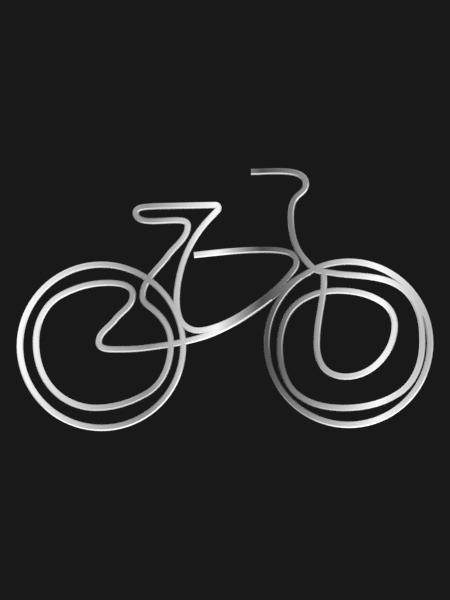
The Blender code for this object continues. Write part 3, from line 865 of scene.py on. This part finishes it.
# %% [markdown]
# ## The solder
#
# Each joint gets a short length of the front of the bar's own section, a few hundredths of a
# millimetre inside the bars' skins, and each groove its bead. They show nowhere but in the gaps,
# which they fill almost to the surface. An extruded section would need a mitre at each step of
# the line. A curve object whose bevel is a second curve makes them all by itself. Where two
# lengths cross, their faces must not share a plane, or the render can't tell which is in front,
# so each lies a little deeper than the one before, down to nine levels.

# %% Solder
SOLDER_INSET = 0.02 * MM
SOLDER_DEPTH = 1.15 * MM
SOLDER_STEP = 0.004 * MM
SOLDER_LEVELS = 9
BEAD_HALF = 1.25 * MM


def bar_outline(inset):
    """The front of the bar's section, drawn clockwise, this far inside its skin."""
    side = BAR_WIDTH / 2 - inset
    lean = inset * (math.sqrt(2) - 1)
    back = BAR_DEPTH - SOLDER_DEPTH
    shoulder = BAR_DEPTH - ARRIS - lean
    crest = BAR_WIDTH / 2 - ARRIS - lean
    left = [(-side, back), (-side, shoulder), (-crest, BAR_DEPTH - inset)]
    return [*left, (crest, BAR_DEPTH - inset), (side, shoulder), (side, back)]


def bead_outline(inset):
    """The bead that fills a groove, from the bevels' foot to this far below the faces."""
    top = BAR_DEPTH - inset
    bottom = BAR_DEPTH - ARRIS
    return [(-BEAD_HALF, bottom), (-BEAD_HALF, top), (BEAD_HALF, top), (BEAD_HALF, bottom)]


def flat_curve(name, points, cyclic):
    curve = bpy.data.curves.new(name, "CURVE")
    curve.dimensions = "2D"
    curve.fill_mode = "NONE"
    spline = curve.splines.new("POLY")
    spline.points.add(len(points) - 1)
    for knot, (x, y) in zip(spline.points, points):
        knot.co = (x, y, 0.0, 1.0)
    spline.use_cyclic_u = cyclic
    made = bpy.data.objects.new(name, curve)
    bpy.context.scene.collection.objects.link(made)
    return made


def upright(foot, spot=(0.0, 0.0)):
    """Turns depth along Z into depth along -Y, from this foot, at this spot of the figure."""
    return Matrix(((1, 0, 0, spot[0]), (0, 0, -1, foot), (0, 1, 0, spot[1]), (0, 0, 0, 1)))


def swept(points, outline):
    """The mesh of a section carried along a line, stood up to face the viewer."""
    guide = flat_curve("guide", points, False)
    shape = flat_curve("shape", outline, True)
    guide.data.bevel_mode = "OBJECT"
    guide.data.bevel_object = shape
    guide.data.use_fill_caps = True
    graph = bpy.context.evaluated_depsgraph_get()
    mesh = bpy.data.meshes.new_from_object(guide.evaluated_get(graph))
    for helper in (guide, shape):
        data = helper.data
        bpy.data.objects.remove(helper, do_unlink=True)
        bpy.data.curves.remove(data)
    mesh.transform(upright(-STAND_OFF))
    return mesh


def soldered(name, runs, section):
    """One piece from lengths of this section along these runs, no two in a row level."""
    bm = bmesh.new()
    for number, run in enumerate(runs):
        inset = SOLDER_INSET + number % SOLDER_LEVELS * SOLDER_STEP
        length = swept(run, section(inset))
        bm.from_mesh(length)
        bpy.data.meshes.remove(length)
    lay_bars_way(bm, lines, in_gaps=True)
    piece = finish_piece(bm, name, solder_finish, BAR_SHARP)
    print(name, "lengths:", len(runs), "faces:", len(piece.data.polygons))


soldered("joint_solder", joint_runs(), bar_outline)
soldered("groove_solder", groove_runs(), bead_outline)

# %% [markdown]
# ## Turned steel
#
# The pillars and the screws are turned from stainless rod. The cutter leaves fine rings on a
# faced end and fine lines round a turned side, and handling leaves faint clouds. A scan of such
# marks would fit one size of piece. Here each corner has an attribute with its distance from the
# axis and its place along it, and noise over these two numbers draws the marks on any size.

# %% Turned steel
STEEL = (0.56, 0.57, 0.58, 1.0)
STEEL_WORN = (0.44, 0.45, 0.465, 1.0)
RINGS_PER_METRE = 14000.0
LINES_PER_METRE = 11000.0
CLOUDS_PER_METRE = 420.0
MARKS_STRENGTH = 0.35
MARKS_DEPTH = 0.006 * MM


def waves(tree, source, per_metre):
    """Noise along one number, as fine lines a cutter leaves."""
    drawn = node(tree, "ShaderNodeMath")
    drawn.operation = "MULTIPLY"
    drawn.inputs[1].default_value = per_metre
    tree.links.new(source, drawn.inputs[0])
    noise = node(tree, "ShaderNodeTexNoise", Scale=1.0, Detail=2.0, Roughness=0.5)
    noise.noise_dimensions = "1D"
    tree.links.new(drawn.outputs[0], noise.inputs["W"])
    return noise.outputs["Fac"]


def turned_steel(name, least, most):
    """Steel with a cutter's marks, from this least roughness to this most."""
    made, tree, shader = new_material(name)
    lathe = attribute(tree, "lathe")
    split = node(tree, "ShaderNodeSeparateXYZ")
    tree.links.new(lathe.outputs["Vector"], split.inputs[0])
    rings = waves(tree, split.outputs["X"], RINGS_PER_METRE)
    lines_round = waves(tree, split.outputs["Y"], LINES_PER_METRE)
    marks = product(tree, rings, lines_round)

    place = node(tree, "ShaderNodeTexCoord")
    clouds = node(tree, "ShaderNodeTexNoise", Scale=CLOUDS_PER_METRE, Detail=3.0, Roughness=0.55)
    tree.links.new(place.outputs["Object"], clouds.inputs["Vector"])
    colour = node(tree, "ShaderNodeMix")
    colour.data_type = "RGBA"
    tree.links.new(clouds.outputs["Fac"], colour.inputs["Factor"])
    colour.inputs[COLOUR_A].default_value = STEEL_WORN
    colour.inputs[COLOUR_B].default_value = STEEL
    tree.links.new(colour.outputs[COLOUR_RESULT], shader.inputs["Base Color"])

    rough = node(tree, "ShaderNodeMapRange", From_Max=0.5, To_Min=least, To_Max=most)
    tree.links.new(marks, rough.inputs["Value"])
    tree.links.new(rough.outputs["Result"], shader.inputs["Roughness"])
    relief = node(tree, "ShaderNodeBump", Strength=MARKS_STRENGTH, Distance=MARKS_DEPTH)
    tree.links.new(marks, relief.inputs["Height"])
    tree.links.new(relief.outputs["Normal"], shader.inputs["Normal"])
    return made


turned_stainless = turned_steel("turned_stainless", least=0.24, most=0.44)
print("material:", turned_stainless.name)

# %% [markdown]
# ## The lathe
#
# Only the outline of a turned piece has to be drawn. A full spin of it round the axis makes the
# solid, as the lathe does. A thread is a small tooth that is spun too, but that moves along the
# axis while it turns. Cylinders and cones could be joined instead, but then each shoulder would
# need its own cut. Both are made along Z and then stood up to face the viewer.

# %% Lathe
POLE_WELD = 0.0005 * MM
TOOTH_SHARE = 0.42
THREAD_STEPS = 24
TURNED_SHARP = 30


def spin_outline(bm, outline, steps):
    """A solid of revolution round Z from an outline of (radius, depth) pairs."""
    knots = [bm.verts.new((radius, 0.0, depth)) for radius, depth in outline]
    edges = [bm.edges.new(pair) for pair in zip(knots, knots[1:])]
    bmesh.ops.spin(
        bm, geom=knots + edges, cent=(0, 0, 0), axis=(0, 0, 1), angle=math.tau, steps=steps,
        use_merge=True,
    )
    bmesh.ops.remove_doubles(bm, verts=bm.verts, dist=POLE_WELD)


def spin_thread(bm, root, crest, start, end, pitch):
    """A helical tooth from the root radius to the crest radius, between two depths."""
    turns = (end - start) / pitch
    half = TOOTH_SHARE * pitch
    corners = ((root, start - half), (crest, start), (root, start + half))
    tooth = bm.faces.new([bm.verts.new((radius, 0.0, depth)) for radius, depth in corners])
    count = math.ceil(turns * THREAD_STEPS)
    bmesh.ops.spin(
        bm, geom=[tooth, *tooth.edges, *tooth.verts], cent=(0, 0, 0), axis=(0, 0, 1),
        dvec=(0, 0, (end - start) / count), angle=math.tau * turns, steps=count,
        use_merge=False,
    )


def stand_up(bm, spot, foot):
    """Notes each corner's place on the lathe, and puts the piece at this spot and foot."""
    bmesh.ops.recalc_face_normals(bm, faces=bm.faces)
    lathe = bm.loops.layers.float_vector.new("lathe")
    for face in bm.faces:
        for loop in face.loops:
            x, y, depth = loop.vert.co
            loop[lathe] = (math.hypot(x, y), depth, 0.0)
    bmesh.ops.transform(bm, matrix=upright(foot, spot), verts=bm.verts)


def axis_of(name):
    """Where in the figure a turned node has its axis."""
    low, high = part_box(name)
    return (low[0] + high[0]) / 2, (low[2] + high[2]) / 2


print("pieces to turn:", len(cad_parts) - len(BARS))

# %% [markdown]
# ## The stand-offs
#
# Five short pillars hold the ornament off the wall. Such a pillar has a faced end that touches
# the wall, two chamfers, a spigot that goes into the bar, and from behind a hole with a thread
# for the stud in the wall. A boolean could cut the hole, but the outline can simply start at its
# bottom and go out round the pillar to the spigot's tip.

# %% Stand-offs
PILLAR_RADIUS = 2.5 * MM
PILLAR_CHAMFER = 0.4 * MM
PILLAR_FRONT = STAND_OFF - 0.3 * MM
PILLAR_STEPS = 64
SPIGOT_RADIUS = 1.5 * MM
SPIGOT_TIP = PILLAR_FRONT + 3.6 * MM
SPIGOT_CHAMFER = 0.3 * MM
SOCKET_RADIUS = 1.25 * MM
SOCKET_DEPTH = 8.0 * MM
BORE_RADIUS = SOCKET_RADIUS - 0.05 * MM
STUD_CREST = SOCKET_RADIUS - 0.22 * MM
STUD_PITCH = 0.5 * MM
STUD_THREAD = (0.6 * MM, 7.4 * MM)
PILLAR_OUTLINE = (
    (0.0, SOCKET_DEPTH + 0.6 * MM),
    (BORE_RADIUS, SOCKET_DEPTH - 0.1 * MM),
    (BORE_RADIUS, 0.35 * MM),
    (SOCKET_RADIUS + 0.3 * MM, 0.0),
    (PILLAR_RADIUS - PILLAR_CHAMFER, 0.0),
    (PILLAR_RADIUS, PILLAR_CHAMFER),
    (PILLAR_RADIUS, PILLAR_FRONT - PILLAR_CHAMFER),
    (PILLAR_RADIUS - PILLAR_CHAMFER, PILLAR_FRONT),
    (SPIGOT_RADIUS, PILLAR_FRONT),
    (SPIGOT_RADIUS, SPIGOT_TIP - SPIGOT_CHAMFER),
    (SPIGOT_RADIUS - SPIGOT_CHAMFER, SPIGOT_TIP),
    (0.0, SPIGOT_TIP),
)
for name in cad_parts:
    if not name.startswith("standoff_"):
        continue
    bm = bmesh.new()
    spin_outline(bm, PILLAR_OUTLINE, PILLAR_STEPS)
    spin_thread(bm, SOCKET_RADIUS, STUD_CREST, *STUD_THREAD, STUD_PITCH)
    stand_up(bm, axis_of(name), 0.0)
    pillar = finish_piece(bm, name + "_pillar", turned_stainless, TURNED_SHARP)
    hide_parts(name)
    print(pillar.name, "faces:", len(pillar.data.polygons))

# %% [markdown]
# ## The screws
#
# Nineteen countersunk M2 screws hold the laps from behind. Each has a flat head with a hexagon
# socket, a cone under it and a threaded shank. The head's face is a ring between a circle and a
# hexagon: both get the same number of points, and bridging the two loops closes the ring. The
# hexagon is then extruded inward for the socket and closed with a shallow drill point. No two
# sockets are turned alike, as after real tightening.

# %% Screws
SCREW_SUNK = 0.2 * MM
HEAD_RADIUS = 1.9 * MM
HEAD_LAND = 0.12 * MM
SHANK_RADIUS = 1.0 * MM
CORE_RADIUS = SHANK_RADIUS - 0.15 * MM
ROOT_RADIUS = SHANK_RADIUS - 0.17 * MM
TIP_RADIUS = SHANK_RADIUS - 0.4 * MM
SCREW_TIP = 4.6 * MM
SCREW_PITCH = 0.4 * MM
SOCKET_FLATS = 1.3 * MM
SOCKET_SUNK = 0.75 * MM
DRILL_POINT = 0.2 * MM
SOCKET_TURN = 37
ROUND = 48


def points_in(geometry):
    return [item for item in geometry if isinstance(item, bmesh.types.BMVert)]


def add_socket(bm, rim, turn):
    """Closes the head's rim with a face that has a hexagon socket in it."""
    place = Matrix.Translation((0, 0, SCREW_SUNK))
    hexagon = bmesh.ops.create_circle(
        bm, cap_ends=False, radius=SOCKET_FLATS / math.sqrt(3), segments=6,
        matrix=place @ Matrix.Rotation(math.radians(turn), 4, "Z"),
    )
    sides = list({edge for knot in hexagon["verts"] for edge in knot.link_edges})
    bmesh.ops.subdivide_edges(bm, edges=sides, cuts=ROUND // 6 - 1)
    mouth = [
        edge for edge in bm.edges
        if not edge.link_faces and all(abs(v.co.z - SCREW_SUNK) < WELD for v in edge.verts)
    ]
    bmesh.ops.bridge_loops(bm, edges=rim + mouth)
    walls = bmesh.ops.extrude_edge_only(bm, edges=mouth)["geom"]
    floor_knots = points_in(walls)
    floor_edges = [
        item for item in walls if isinstance(item, bmesh.types.BMEdge)
        and all(knot in floor_knots for knot in item.verts)
    ]
    bmesh.ops.translate(bm, verts=floor_knots, vec=(0, 0, SOCKET_SUNK))
    tip = points_in(bmesh.ops.extrude_edge_only(bm, edges=floor_edges)["geom"])
    bmesh.ops.scale(bm, verts=tip, vec=(0, 0, 1))
    bmesh.ops.translate(bm, verts=tip, vec=(0, 0, DRILL_POINT))
    bmesh.ops.remove_doubles(bm, verts=bm.verts, dist=POLE_WELD)


def screw_mesh(turn):
    """A screw along Z with its head at zero, its socket turned by this many degrees."""
    bm = bmesh.new()
    cone = SCREW_SUNK + HEAD_RADIUS - SHANK_RADIUS
    outline = (
        (HEAD_RADIUS - HEAD_LAND, SCREW_SUNK),
        (HEAD_RADIUS, SCREW_SUNK + HEAD_LAND),
        (CORE_RADIUS, cone + HEAD_LAND),
        (CORE_RADIUS, SCREW_TIP - 0.25 * MM),
        (TIP_RADIUS, SCREW_TIP),
        (0.0, SCREW_TIP),
    )
    spin_outline(bm, outline, ROUND)
    rim = [edge for edge in bm.edges if edge.is_boundary]
    add_socket(bm, rim, turn)
    start, end = cone + 0.4 * MM, SCREW_TIP - 0.5 * MM
    spin_thread(bm, ROOT_RADIUS, SHANK_RADIUS, start, end, SCREW_PITCH)
    return bm


for number, name in enumerate(sorted(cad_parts)):
    if not name.startswith("screw_"):
        continue
    bm = screw_mesh(SOCKET_TURN * number)
    stand_up(bm, axis_of(name), -STAND_OFF)
    screw = finish_piece(bm, name + "_turned", turned_stainless, TURNED_SHARP)
    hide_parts(name)
print("screw faces:", len(screw.data.polygons))
